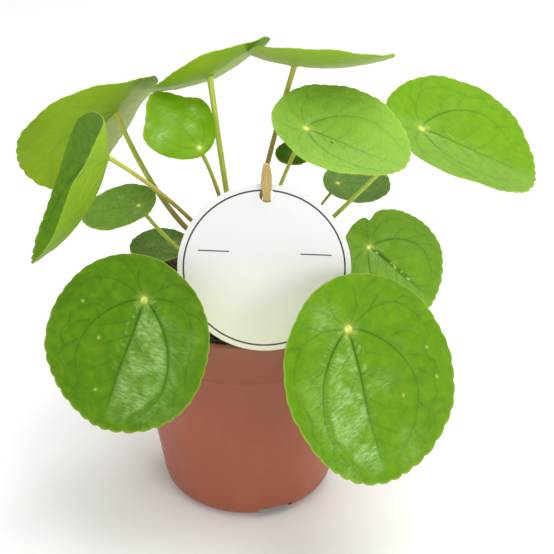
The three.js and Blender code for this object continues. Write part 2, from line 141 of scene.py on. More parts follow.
def skin(name, rings, looped=False, values=None, materials=(), material_rows=None):
    """A closed skin over rings of points, in millimetres: rings[i, j] is point j of ring i.

    Neighbouring points of neighbouring rings make the quads. The last ring joins the first
    where looped is set; otherwise a fan closes each end to the middle of its ring. Each of
    values becomes an attribute on the points. The faces are turned over if the volume that
    they enclose comes out negative. material_rows gives the material of each row of quads.
    """
    count, around = rings.shape[:2]
    points = rings.reshape(-1, 3) / 1000
    index = np.arange(count * around).reshape(count, around)
    inner = index if looped else index[:-1]
    outer = np.roll(index, -1, axis=0) if looped else index[1:]
    quads = np.stack([inner, np.roll(inner, -1, 1), np.roll(outer, -1, 1), outer], -1).reshape(-1, 4)
    fans = np.zeros((0, 3), int)
    if not looped:
        points = np.vstack([points, points[:around].mean(0), points[-around:].mean(0)])
        first, last = count * around, count * around + 1
        start = np.stack([np.full(around, first), np.roll(index[0], -1), index[0]], -1)
        end = np.stack([np.full(around, last), index[-1], np.roll(index[-1], -1)], -1)
        fans = np.vstack([start, end])
    corners = np.vstack([quads[:, [0, 1, 2]], quads[:, [0, 2, 3]], fans])
    a, b, c = points[corners[:, 0]], points[corners[:, 1]], points[corners[:, 2]]
    if np.einsum("ij,ij->", a, np.cross(b, c)) < 0:
        quads, fans = quads[:, ::-1], fans[:, ::-1]

    mesh = bpy.data.meshes.new(name)
    mesh.vertices.add(len(points))
    mesh.vertices.foreach_set("co", points.ravel())
    mesh.loops.add(quads.size + fans.size)
    mesh.loops.foreach_set("vertex_index", np.concatenate([quads.ravel(), fans.ravel()]))
    mesh.polygons.add(len(quads) + len(fans))
    starts = np.concatenate([np.arange(len(quads)) * 4, quads.size + np.arange(len(fans)) * 3])
    mesh.polygons.foreach_set("loop_start", starts)
    mesh.polygons.foreach_set("use_smooth", np.ones(len(starts), bool))
    for material in materials:
        mesh.materials.append(material)
    if material_rows is not None:
        per_face = np.repeat(material_rows, around)
        ends = np.repeat([material_rows[0], material_rows[-1]], around)
        mesh.polygons.foreach_set("material_index", np.concatenate([per_face, ends]).astype(int))
    for key, value in (values or {}).items():
        flat = value.reshape(count * around, -1)
        if not looped:
            flat = np.vstack([flat, flat[:around].mean(0), flat[-around:].mean(0)])
        kind = "FLOAT" if flat.shape[1] == 1 else "FLOAT_VECTOR"
        layer = mesh.attributes.new(key, kind, "POINT")
        layer.data.foreach_set("value" if kind == "FLOAT" else "vector", flat.ravel())
    mesh.update(calc_edges=True)
    mesh.validate()
    return new_object(name, mesh)


def full_turn(count):
    """Evenly spaced angles round a full turn, which stop one short of the first again."""
    return np.linspace(0, 2 * np.pi, count, endpoint=False)


def turned(radius, height, sides):
    """A profile turned round the upright axis, as rings: x = r cos a, y = r sin a, z = height."""
    radius, height = np.reshape(radius, (-1, 1)), np.reshape(height, (-1, 1))
    angle = full_turn(sides)
    return np.stack([radius * np.cos(angle), radius * np.sin(angle), height + 0 * angle], -1)


def resampled(corners, coarse, fine, reach):
    """A polyline sampled coarsely on its runs and finely near its corners, corners then eased."""
    corners = np.array(corners, float)
    run = np.concatenate([[0], np.cumsum(np.linalg.norm(np.diff(corners, axis=0), axis=1))])
    near = (run[:, None] + np.arange(-reach, reach + fine / 2, fine)).ravel()
    at = np.unique(np.round(np.concatenate([np.arange(0, run[-1], coarse), near]), 3))
    at = at[(at >= 0) & (at <= run[-1])]
    ease = fine * np.array([-1.5, -0.75, 0, 0.75, 1.5])
    spread = np.clip(at[:, None] + ease, 0, run[-1])
    return np.stack([np.interp(spread, run, corners[:, k]).mean(1) for k in (0, 1)], -1)


def wall_at(height):
    """Outside radius of the plain wall: a straight cone."""
    return POT_FOOT + SLOPE * height


def corner_arc(radius, steps):
    """The rounding from under the foot up to the wall, about its own middle."""
    angle = np.linspace(-np.pi / 2, -WALL_ANGLE, steps)
    return np.stack([CORNER_MIDDLE + radius * np.cos(angle), POT_CORNER + radius * np.sin(angle)], -1)


band_foot = POT_HEIGHT - BAND_HEIGHT
bead = band_foot - BEAD_DROP
lip_inner = wall_at(POT_HEIGHT) - WALL_RUN
floor_top = FLOOR_LIFT + POT_WALL
foot_inner = CORNER_MIDDLE - FOOT_WIDTH
pot_profile = [
    [FAN_RADIUS, 0], [HUB_RADIUS, 0], [HUB_RADIUS, FLOOR_LIFT], [foot_inner, FLOOR_LIFT], [foot_inner, 0],
    *corner_arc(POT_CORNER, 10).tolist(),
    # a fine raised bead runs round just under the band
    [wall_at(bead - 0.4), bead - 0.4], [wall_at(bead) + BEAD_HEIGHT, bead], [wall_at(bead + 0.4), bead + 0.4],
    [wall_at(band_foot - 0.6), band_foot - 0.6], [wall_at(band_foot) + BAND_STEP, band_foot],
    [POT_RIM, POT_HEIGHT - LIP_EASE], [POT_RIM - 0.5, POT_HEIGHT],
    [lip_inner + 0.4, POT_HEIGHT], [lip_inner, POT_HEIGHT - LIP_EASE],
    *corner_arc(POT_CORNER - POT_WALL, 8)[::-1].tolist(),
    [foot_inner + POT_WALL, POT_WALL], [foot_inner + POT_WALL, floor_top], [FAN_RADIUS, floor_top],
]


def upright_box(size, middle, angle):
    """A box of size [long, wide, bottom, top] with its middle that far out, as two rings of four.

    The corners are turned by the angle about the upright axis.
    """
    ring = np.array([[-1, -1], [1, -1], [1, 1], [-1, 1]]) / 2
    plan = ring * size[:2] + [middle, 0]
    plan = plan @ np.array([[np.cos(angle), np.sin(angle)], [-np.sin(angle), np.cos(angle)]])
    return np.stack([np.column_stack([plan, np.full(4, z)]) for z in size[2:]])


def carve(piece, tool, operation):
    """Cuts a tool out of a piece, or adds it, and puts the result into the piece's own mesh."""
    cut = piece.modifiers.new("cut", "BOOLEAN")
    cut.operation, cut.object, cut.solver = operation, tool, "EXACT"
    result = bpy.data.meshes.new_from_object(piece.evaluated_get(bpy.context.evaluated_depsgraph_get()))
    piece.modifiers.clear()
    piece.data = result
    bpy.data.objects.remove(tool)


profile = resampled(pot_profile, 2.2, 0.3, 0.9)
pot = skin("nursery_pot_moulded", turned(profile[:, 0], profile[:, 1], POT_SIDES))
for angle in DRAIN_ANGLES:
    drill = turned([DRAIN_RADIUS, DRAIN_RADIUS], [-1, FLOOR_LIFT + 4], 28)
    drill = drill + [DRAIN_CIRCLE * np.cos(angle), DRAIN_CIRCLE * np.sin(angle), 0]
    carve(pot, skin("drain_tool", drill), "DIFFERENCE")
for angle in NOTCH_ANGLES:
    reach = FOOT_WIDTH + POT_CORNER
    notch = upright_box([reach, NOTCH_WIDTH, -2, NOTCH_HEIGHT], CORNER_MIDDLE + reach / 2, angle)
    carve(pot, skin("notch_tool", notch), "DIFFERENCE")
    # three ribs stand under the floor, halfway between the notches
    rib = upright_box([foot_inner - HUB_RADIUS + 1.6, RIB_WIDTH, 0.02, FLOOR_LIFT + RIB_HEIGHT],
                      (foot_inner + HUB_RADIUS) / 2, angle + np.pi / 3)
    carve(pot, skin("rib_tool", rib), "UNION")
pot.data.polygons.foreach_set("use_smooth", np.ones(len(pot.data.polygons), bool))
pot.data.set_sharp_from_angle(angle=np.radians(35))

# Moulded polypropylene: satin, with flow marks in slightly different browns round the pot,
# pale dust caught near the lip, and short scuffs. IOR 1.49. Flow marks are 26 mm wide and 75 mm
# tall, dust clouds 8 mm, scuffs 17 by 2 mm; the grain is drawn 1.1 mm, coarser than the real one.
moulded, tree = new_material("moulded_polypropylene_terracotta", IOR=1.49)
place = add(tree, "TexCoord").outputs["Object"]
up = add(tree, "SeparateXYZ", place).outputs["Z"]
flow_place = add(tree, "Mapping", Vector=place, Scale=(1, 1, 0.35))
flow = add(tree, "TexNoise", Vector=flow_place, Scale=38, Detail=4, Roughness=0.6)
grain = add(tree, "TexNoise", Vector=place, Scale=900, Detail=2)
speckle = add(tree, "MapRange", grain, 0.62, 0.75, 0, 0.25)
high = add(tree, "MapRange", up, 0.099, 0.112, 0, 0.16)
cloud = add(tree, "TexNoise", Vector=place, Scale=120, Detail=5)
dust = add(tree, "Math", high, cloud, operation="MULTIPLY")
satin = add(tree, "MapRange", cloud, 0.3, 0.7, 0.4, 0.52)
scuff_place = add(tree, "Mapping", Vector=place, Scale=(1, 1, 9))
scuff = add(tree, "TexNoise", Vector=scuff_place, Scale=60, Detail=3)
skin_grain = add(tree, "Math", grain, scuff, operation="ADD")
finish(tree, "#8a442b", [(flow, "#9d5236"), (speckle, "#ab735a"), (dust, "#c4a690")],
       (skin_grain, 0.25, 0.00012), satin)
pot.data.materials.clear()
pot.data.materials.append(moulded)
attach(pot, "root")
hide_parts("nursery_pot")

# ------------------------------------------------------------------ potting soil
# Moist peat mix, pressed down by hand and watered: a lumpy dark surface of crumbs and fibres,
# with bits of bark and a few pale wood chips lying on it.

SOIL_LEVEL = 107
SOIL_SHOULDER = 1.5
SOIL_GAP = 0.3  # between the soil and the pot
CRUMB_COUNT = 1500
CHIP_COUNT = 130

soil_room = wall_at(SOIL_LEVEL) - WALL_RUN - SOIL_GAP
dice = np.random.default_rng(7)


def waves(x, y, lengths, seed):
    """Soft random relief between about -1 and 1: crossed sine waves of the given lengths in mm."""
    picks = np.random.default_rng(seed)
    total = np.zeros_like(x)
    for length in lengths:
        for _ in range(3):
            heading, phase = picks.uniform(0, 2 * np.pi, 2)
            total += np.sin((x * np.cos(heading) + y * np.sin(heading)) * 2 * np.pi / length + phase)
    return total / np.sqrt(3 * len(lengths))


def soil_height(x, y):
    """The crumbly top: long crossed waves for the lumps and short ones for the grain.

    Towards the wall it falls off as the 14th power of the distance from the middle.
    """
    clods = np.sin(x / 3.1 + y / 5.3) + np.sin(x / 4.7 - y / 2.9) + np.sin(y / 3.7)
    shoulder = SOIL_SHOULDER * (np.hypot(x, y) / soil_room) ** 14
    return SOIL_LEVEL + 0.37 * clods + 0.35 * waves(x, y, (9, 4.2, 2.3), 3) - shoulder


low = floor_top + SOIL_GAP
side = np.array([[4, low], [wall_at(low) - WALL_RUN - 4.5, low], [wall_at(low + 8) - WALL_RUN - 0.4, low + 8],
                 [soil_room - 0.2, SOIL_LEVEL - SOIL_SHOULDER]])
top_radius = np.linspace(soil_room - 0.3, 0.8, 84)
rings = turned(np.append(side[:, 0], top_radius), np.append(side[:, 1], 0 * top_radius), 220)
rings[4:, :, 2] = soil_height(rings[4:, :, 0], rings[4:, :, 1])
soil = skin("potting_soil_peat", rings, values={"pale": np.zeros(rings.shape[:2])})


def lumps(name, centres, sizes, turns, roughness, pale):
    """Many small stones in one mesh: each is a 20-sided ball, stretched, turned and roughened.

    A corner sits at centre + turn * (size * corner * (1 + roughness * a random share)).
    """
    gold = (1 + 5 ** 0.5) / 2
    ball = np.array([[s, t * gold, 0] for s in (-1, 1) for t in (-1, 1)])
    ball = np.vstack([ball, np.roll(ball, 1, 1), np.roll(ball, 2, 1)]) / np.hypot(1, gold)
    gaps = np.linalg.norm(ball[:, None] - ball[None], axis=-1)
    near = (gaps > 0.1) & (gaps < 1.1)
    faces = np.array([(i, j, k) for i in range(12) for j in range(i) for k in range(j)
                      if near[i, j] and near[j, k] and near[i, k]])
    out = np.einsum("ij,ij->i", ball[faces[:, 0]], np.cross(ball[faces[:, 1]], ball[faces[:, 2]]))
    faces = np.where(out[:, None] < 0, faces[:, ::-1], faces)
    shapes = ball * (1 + roughness * dice.uniform(-1, 1, (len(centres), 12, 1)))
    corners = np.einsum("nij,nkj->nki", turns, shapes * sizes[:, None]) + centres[:, None]
    mesh = bpy.data.meshes.new(name)
    triangles = (faces + 12 * np.arange(len(centres))[:, None, None]).reshape(-1, 3)
    mesh.from_pydata((corners.reshape(-1, 3) / 1000).tolist(), [], triangles.tolist())
    mesh.attributes.new("pale", "FLOAT", "POINT").data.foreach_set("value", np.repeat(pale, 12))
    return new_object(name, mesh)


def random_turns(count, flatness):
    """Turns from random Euler angles; flatness near 0 keeps each stone's short side upright."""
    yaw = dice.uniform(0, 2 * np.pi, count)
    tip = dice.uniform(-1, 1, count) * flatness * np.pi
    c, s, ct, st = np.cos(yaw), np.sin(yaw), np.cos(tip), np.sin(tip)
    zero = np.zeros(count)
    return np.stack([np.stack([c, -s * ct, s * st], -1), np.stack([s, c * ct, -c * st], -1),
                     np.stack([zero, st, ct], -1)], 1)


def scattered(count, inside, outside):
    """Places spread evenly over a ring of the soil, as x, y and the soil's height there."""
    reach = np.sqrt(dice.uniform((inside / outside) ** 2, 1, count)) * outside
    bearing = dice.uniform(0, 2 * np.pi, count)
    px, py = reach * np.cos(bearing), reach * np.sin(bearing)
    return np.column_stack([px, py, soil_height(px, py)])


crumb_size = dice.uniform(0.5, 1.7, CRUMB_COUNT)[:, None] * dice.uniform(0.7, 1.2, (CRUMB_COUNT, 3))
crumb_place = scattered(CRUMB_COUNT, 6.5, soil_room - 2.2) + [0, 0, 0.1]
crumb_turn = random_turns(CRUMB_COUNT, 0.5)
crumbs = lumps("potting_soil_crumbs", crumb_place, crumb_size, crumb_turn, 0.28,
               dice.uniform(0, 0.25, CRUMB_COUNT))
chip_size = np.column_stack([dice.uniform(1.4, 4.2, CHIP_COUNT), dice.uniform(0.5, 1.3, CHIP_COUNT),
                             dice.uniform(0.25, 0.5, CHIP_COUNT)])
chip_place = scattered(CHIP_COUNT, 9, soil_room - 4.5) + [0, 0, 0.9]
chip_turn = random_turns(CHIP_COUNT, 0.1)
chips = lumps("potting_soil_chips", chip_place, chip_size, chip_turn, 0.2,
              dice.uniform(0.3, 1, CHIP_COUNT) ** 1.5)

# Damp peat: nearly black brown, rough, each crumb a little different; chips are pale bark. Clods
# about 4 mm across and grit of 0.8 mm.
peat, tree = new_material("damp_peat", IOR=1.45)
place = add(tree, "TexCoord").outputs["Object"]
pale = add(tree, "Attribute", attribute_name="pale").outputs["Fac"]
clod = add(tree, "TexNoise", Vector=place, Scale=260, Detail=5, Roughness=0.65)
damp = add(tree, "MapRange", clod, 0.35, 0.65, 0.55, 0.95)
grit = add(tree, "TexNoise", Vector=place, Scale=1300, Detail=3)
finish(tree, "#120d09", [(clod, "#4a3829"), (pale, "#b89a76")], (grit, 0.6, 0.0005), damp)
for piece in (soil, crumbs, chips):
    piece.data.materials.append(peat)
    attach(piece, "root")
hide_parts("potting_soil")

# ------------------------------------------------------------------ main stem
# A short woody stem, 11 mm thick. Fallen leaves have left swollen ring scars, the bark between
# them is cracked and brown, and the young rounded top is still green.

STEM_RADIUS = 5.5
STEM_TOP = 129
STEM_FOOT = 66
SCAR_STEP = 7

shoulder = STEM_TOP - STEM_RADIUS
cap = STEM_TOP - STEM_RADIUS * (1 - np.sin(np.linspace(0.1, 1.5, 10)))
z = np.append(np.linspace(STEM_FOOT, shoulder, 90), cap)[:, None]
angle = full_turn(48)[None]
dome = np.sqrt(np.clip(1 - (np.clip(z - shoulder, 0, None) / STEM_RADIUS) ** 2, 0.004, 1))
# tilted ring scars 0.5 mm high, and cracks 0.12 mm deep
ring = 0.5 * np.exp(-(((z - STEM_FOOT + 1.5 * np.cos(angle)) % SCAR_STEP - 2.1) / 0.9) ** 2)
cracks = 0.12 * waves(angle * STEM_RADIUS + 0 * z, z * 0.35 + 0 * angle, (2.6, 1.3), 11)
root = np.clip((z - STEM_FOOT) / 8, 0, 1)
thick = (STEM_RADIUS * (0.6 + 0.4 * root) + (ring + cracks) * (z < shoulder)) * dome
rings = np.stack([thick * np.cos(angle), thick * np.sin(angle), z + 0 * angle], -1)
stem = skin("main_stem_woody", rings)

# Young bark: brown, green towards the top, rough, in lengthwise cracks 1.1 mm apart.
young_bark, tree = new_material("young_bark", IOR=1.45, Roughness=0.8)
place = add(tree, "TexCoord").outputs["Object"]
up = add(tree, "SeparateXYZ", place).outputs["Z"]
long_place = add(tree, "Mapping", Vector=place, Scale=(1, 1, 0.25))
crack = add(tree, "TexNoise", Vector=long_place, Scale=900, Detail=4)
green = add(tree, "MapRange", up, 0.117, 0.127, 0, 0.8)
finish(tree, "#3d2f1c", [(crack, "#8a7a52"), (green, "#7f9136")], (crack, 0.5, 0.0003))
stem.data.materials.append(young_bark)
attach(stem, "root")
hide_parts("main_stem")

# ------------------------------------------------------------------ leaves and their stalks
# Round fleshy leaves, each carried near its middle on a smooth stalk that bends out of the stem.
# Every vein starts at the stalk: one midrib, arcs on both sides, and a net that loops between.

# number: where the stalk meets the blade, (face, tilt, spin) in degrees,
# (length, width, share of the length behind the stalk),
# (fold left, fold right, rounding of the crease in half widths, bend to the tip, bend to the base),
# (stalk radius, height on the stem, its bend), green from 0 dark to 1 fresh
LEAVES = {
    1: ([-43, -62, 138], (-107, 64, -13), (80, 76, .24), (5, 7, .5, -3, 12),
        (1.6, 113, [-30, -38, 124]), .3),
    2: ([46, -75, 131], (-57, 60, 6), (92, 86, .25), (6, 8, .5, -1, 10),
        (1.7, 112, [48, -46, 121]), .42),
    3: ([-62, 27, 190], (136, 51, 13), (78.7, 77.6, .32), (24, 15, .4, -18, -1),
        (1.45, 123, [-36, 2, 134]), .6),
    4: ([-58, -42, 197], (-174, 78.7, -3), (80, 73, .21), (26, 25, .2, 49, 22),
        (1.15, 114, [-20, -21, 160]), .38),
    5: ([-16, 12, 214], (136, 37, -44), (69, 64, .3), (19, 10, .63, 9, 32),
        (1.6, 125, [-8, 6, 145]), .4),
    6: ([23, 4, 222], (80, 29, -42), (70, 66, .28), (17, 9, .6, 22, 24),
        (1.3, 121, [4, 7, 152]), .6),
    7: ([-20, -10, 187], (-72, 42, 206), (36, 34, .1), (-10, -14, .5, -7, -30),
        (1.1, 120, [-11, -2, 165]), .75),
    8: ([28, -18, 200], (-51, 23, 49), (65, 60, .26), (12, 13, .5, 3, 21),
        (1.05, 119, [12, 1, 157]), .8),
    9: ([84, 25, 182], (-38, 27, 37), (82, 78, .25), (15, 16, .5, -2, 15),
        (1.25, 110, [45, 5, 145]), .64),
    10: ([-49, -8, 157], (-148, 18, -40), (37, 34, .24), (5, 5, .5, 3, 13),
         (1.1, 112, [-27, -12, 126]), .42),
    11: ([-35, 4, 131], (-120, 8, -36), (29, 28, .27), (4, 9, .5, 9, 8),
         (1, 111, [-21, 2, 115]), .18),
    12: ([45, 33, 149], (-60, 14, 68), (34, 32, .22), (5, 3, .5, 8, 5),
         (.85, 111, [25, 18, 128]), .3),
    13: ([25, 16, 175], (-88, 17, -33), (19, 17, .28), (2, 6, .5, 10, 6),
         (.9, 119, [16, 16, 161]), .25),
    14: ([58, -15, 139], (-62, 59, 39), (55, 52, .24), (13, 12, .5, 1, 11),
         (1.4, 111, [32, -8, 118]), .55),
}
BLADE_THICKNESS = 0.7  # at the stalk; the margin is half as thick
LARGE_LEAF = 40  # longer ones have more scallops and a finer grid
SCALLOPS = {True: 38, False: 22}
GRID = {True: (73, 31, 266), False: (47, 21, 154)}  # rings above and below, points round
SCALLOP_DEPTH = 0.016
STALK_ROOT = 4.6  # how far out of the stem's axis a stalk starts
STALK_GAP = 0.75  # from a stalk's end to the middle of its blade
STALK_GRID = (70, 20)
MIDRIB = [(0, 0), (.01, .2), (-.01, .4), (0, .55), (.01, .68)]
SWAY = {2: -.32, 8: -.6, 9: -.25}  # how far the midrib strays to one side, in half widths per length
EGG = {3: .2, 4: -.3}  # how much wider the tip's half is, narrower below 0
GATHER = {3: .9, 4: .75}  # share of the fold that is left at the base
SQUARE = {7: .055}  # how far the margin is drawn out into four corners
# a bite or a lobe in the margin: its place and breadth in radians, and its depth
NOTCH = {14: (2.65, .09, .22), 7: (4.85, .3, -.07)}
# painted highlight: the panel on this side shines, drawn pale and made glossier
PAINTED_SHINE_SIDE = {1: 1, 2: -1}  # the side of the midrib whose panel shines, 1 left, -1 right
# painted highlights, round shining patches that also make the wax glossier: half widths across, lengths
# along, radius in mm, strength
PAINTED_HIGHLIGHTS = {2: [(-.26, -.09, 8, .6), (.16, .64, 9, .5), (.14, .3, 5, .5)],
        7: [(-.6, .43, 3.5, 1.5), (-.25, .3, 3.5, .9), (.62, .4, 4.5, 1.4), (.65, .66, 2.5, 1.2),
            (.1, .6, 5, .7)],
        10: [(-.45, .3, 3, .9), (.3, 0, 2.2, .8)], 11: [(-.3, .35, 3, .5)], 13: [(-.2, .3, 2, .5)]}
# painted light: the side that catches more light is drawn paler, as a painted sheen on the upper face and a
# lit half on the lower: its bearing from the midrib in degrees, how pale it is and the rest is, the breadth
# of the edge between them in mm, and 1 for the upper or -1 for the lower face
PAINTED_LIGHT = {3: (-90, 1, 0, 3, -1), 5: (0, 1, 0, 8, -1), 6: (50, 1, .2, 14, -1), 8: (-90, .38, .24, 14, 1),
        9: (-90, .22, .04, 10, 1), 10: (0, .3, .4, 20, 1), 11: (0, .45, .45, 9, 1), 12: (0, .25, .25, 9, 1),
        14: (-90, .22, .06, 4, 1)}
CALM = {4: .2}  # share of the ripples that is left
VEINED = {7: .3, 8: .6, 9: .7, 10: .4, 11: .35, 12: .5, 13: .4, 14: .8}  # strength of the veins
LEDGE = {14: 1.3}  # how far the left half stands over the midrib
BROWN = {3: .6, 4: .8, 6: .9, 7: .5}  # how far the stalk has browned
# cracks along the midrib: place and half length, in lengths
TEARS = {14: ((.02, .03), (.085, .014), (.24, .007), (.285, .022), (.36, .008), (.45, .018))}
FLECKS = {1: [(-.36, .29), (-.2, .57), (-.68, .13)], 2: [(.75, .24), (.74, .39), (.31, .4)]}  # yellow dots
SPECK = {8: (-.21, .18)}  # a small brown scar
# the veins of the left half, in half widths and lengths from the stalk
SIDE_ARC = [(0, 0), (.14, .03), (.33, .105), (.48, .2), (.57, .32), (.57, .43), (.46, .55), (.3, .64)]
UPPER_ARC = [(0, 0), (.3, -.045), (.58, -.02), (.76, .09), (.81, .22)]
BASE_VEIN = [(0, 0), (.14, -.08), (.33, -.15), (.52, -.155), (.66, -.1)]
OUTER_LOOPS = [(.81, .22), (.78, .28), (.84, .35), (.76, .41), (.77, .49), (.64, .54), (.6, .62),
               (.45, .64), (.3, .64)]
RIBLETS = [[(0, .1), (.2, .17), (.42, .22)], [(0, .2), (.2, .28), (.45, .36)],
           [(0, .31), (.17, .39), (.4, .47)], [(0, .42), (.14, .49), (.32, .55)],
           [(0, .53), (.1, .58), (.2, .63)],
           [(.45, .12), (.62, .13), (.78, .2)], [(.57, .22), (.72, .26), (.84, .35)],
           [(.6, .33), (.72, .39), (.78, .47)], [(.54, .45), (.62, .52), (.62, .58)],
           [(.4, .58), (.45, .64), (.4, .68)],
           [(.3, -.04), (.45, -.09), (.62, -.1)], [(.58, -.02), (.72, -.03), (.84, .02)],
           [(.14, -.08), (.17, -.14), (.15, -.2)], OUTER_LOOPS]


def blade_axes(face, tilt, spin):
    """Normal out of the upper side, midrib towards the tip and the left, from the leaf's angles.

    The normal leans by tilt towards the bearing face; the midrib runs downhill, then turns by spin.
    """
    face, tilt, spin = np.radians([face, tilt, spin])
    level = np.array([np.cos(face), np.sin(face), 0])
    up = np.array([0, 0, 1])
    normal = np.sin(tilt) * level + np.cos(tilt) * up
    downhill = np.cos(tilt) * level - np.sin(tilt) * up
    midrib = np.cos(spin) * downhill + np.sin(spin) * np.cross(normal, downhill)
    return normal, midrib, np.cross(normal, midrib)


def margin_notch(share, around, depth, count):
    """Shallow scallops at the margin: small bites between rounded teeth, none inside the blade."""
    return depth * share ** 24 * (1 - np.abs(np.sin(count * around / 2)) ** 0.7)


def bent_blade(number, along, across, rise=0):
    """Bends the flat blade: each half folds up over a rounded crease, the midrib curves in two arcs.

    side = sin(turn) / bend + straight rest, lift = (1 - cos(turn)) / bend + rest, on each half;
    forward and up run the same way along the midrib, with its own bend to the tip and the base.
    Behind the stalk the fold changes by 1 + (gather - 1) * t * t * (3 - 2 t), t from 0 to the base.
    """
    at, angles, (length, width, foot), (fold_left, fold_right, crease, tip, base) = LEAVES[number][:4]
    normal, midrib, left = blade_axes(*angles)
    gather = GATHER.get(number, 1)
    soft = crease * width / 2
    t = np.clip(-along / (foot * length), 0, 1)
    fold = np.radians(np.where(across > 0, fold_left, fold_right)) * (1 + (gather - 1) * t * t * (3 - 2 * t))
    bend = fold / soft
    turn = bend * np.minimum(np.abs(across), soft)
    rest = np.maximum(np.abs(across) - soft, 0)
    side = np.sign(across) * (np.sin(turn) / bend + rest * np.cos(fold))
    rise = rise + (1 - np.cos(turn)) / bend + rest * np.sin(fold)
    ahead = (0.5 - foot) * length
    reach = np.where(along > 0, ahead + length / 2, length / 2 - ahead)
    arc = np.radians(np.where(along > 0, tip, base)) / reach
    swing = arc * along
    forward = np.sin(swing) / arc - rise * np.sin(swing)
    up = (1 - np.cos(swing)) / arc + rise * np.cos(swing)
    return np.array(at) + forward[..., None] * midrib + side[..., None] * left + up[..., None] * normal


def vein_curves(number):
    """The veins of one leaf, each a little off the pattern: strength, curve, half thickness in mm.

    The curves are in half widths and lengths. SWAY draws them aside, less towards the margin.
    """
    picks = np.random.default_rng(number)
    veins = [(1, np.array(MIDRIB), 0.5)]
    for side in (1, -1):
        arc = .75 if PAINTED_SHINE_SIDE.get(number) == -side else .95
        for strength, curve in ((arc, SIDE_ARC), (.45, UPPER_ARC), (.35, BASE_VEIN)):
            stretch = [side * picks.uniform(.92, 1.08), picks.uniform(.94, 1.06)]
            veins.append((strength, np.array(curve) * stretch, 0.5))
        for curve in RIBLETS:
            drift = np.array(curve) * [side, 1] * picks.uniform(.94, 1.06, 2)
            stray = picks.uniform(-.012, .012, (len(curve), 2))
            stray[0] = 0
            veins.append((.45, drift + stray, 0.4))
    for _, curve, _ in veins:
        curve[:, 0] += SWAY.get(number, 0) * curve[:, 1] * (1 - np.abs(curve[:, 0]))
    return veins


def smooth_curve(points, steps=7):
    """Catmull-Rom through the points: each span blends the four points about it."""
    padded = np.vstack([2 * points[0] - points[1], points, 2 * points[-1] - points[-2]])
    t = np.linspace(0, 1, steps, endpoint=False)[:, None]
    a, b, c, d = (padded[i:len(padded) - 3 + i][:, None] for i in range(4))
    spans = 0.5 * (2 * b + (c - a) * t + (2 * a - 5 * b + 4 * c - d) * t ** 2
                   + (3 * b - a - 3 * c + d) * t ** 3)
    return np.vstack([spans.reshape(-1, 2), points[-1]])


def distance_to(curve, x, y):
    """Shortest distance from each point to a polyline, and how far along it that is, 0 to 1."""
    start, step = curve[:-1], np.diff(curve, axis=0)
    px, py = x[..., None] - start[:, 0], y[..., None] - start[:, 1]
    share = np.clip((px * step[:, 0] + py * step[:, 1]) / (step ** 2).sum(1), 0, 1)
    gap = np.hypot(px - share * step[:, 0], py - share * step[:, 1])
    nearest = gap.argmin(-1)
    pick = np.take_along_axis(share, nearest[..., None], -1)[..., 0]
    return gap.min(-1), (nearest + pick) / len(step)


def panel(number, u, v):
    """Share of the shining panel, where a highlight is painted and the wax is glossier: 1 between the midrib
    and the side arc on one side, less beyond.

    Each edge of it is a ramp of 0.06 half widths; u counts half widths and v lengths.
    """
    side = PAINTED_SHINE_SIDE.get(number, 0)
    across = side * (u - SWAY.get(number, 0) * v * (1 - np.abs(u)))
    arc = np.array(SIDE_ARC)
    arc_at = np.interp(v, arc[:, 1], arc[:, 0])
    inside = np.clip(across / 0.06, 0, 1) * np.clip((arc_at - across) / 0.06, 0, 1)
    beyond = np.clip((across - arc_at) / 0.06, 0, 1) * np.clip((0.88 - across) / 0.2, 0, 1)
    ahead = np.clip((v - 0.02) / 0.1, 0, 1) * np.clip((0.72 - v) / 0.15, 0, 1)
    return (side != 0) * ahead * np.maximum(inside, 0.45 * beyond)


def fading(distance, width):
    """A soft mark that is 1 at no distance and falls off as exp(-(distance / width) squared)."""
    return np.exp(-(distance / width) ** 2)


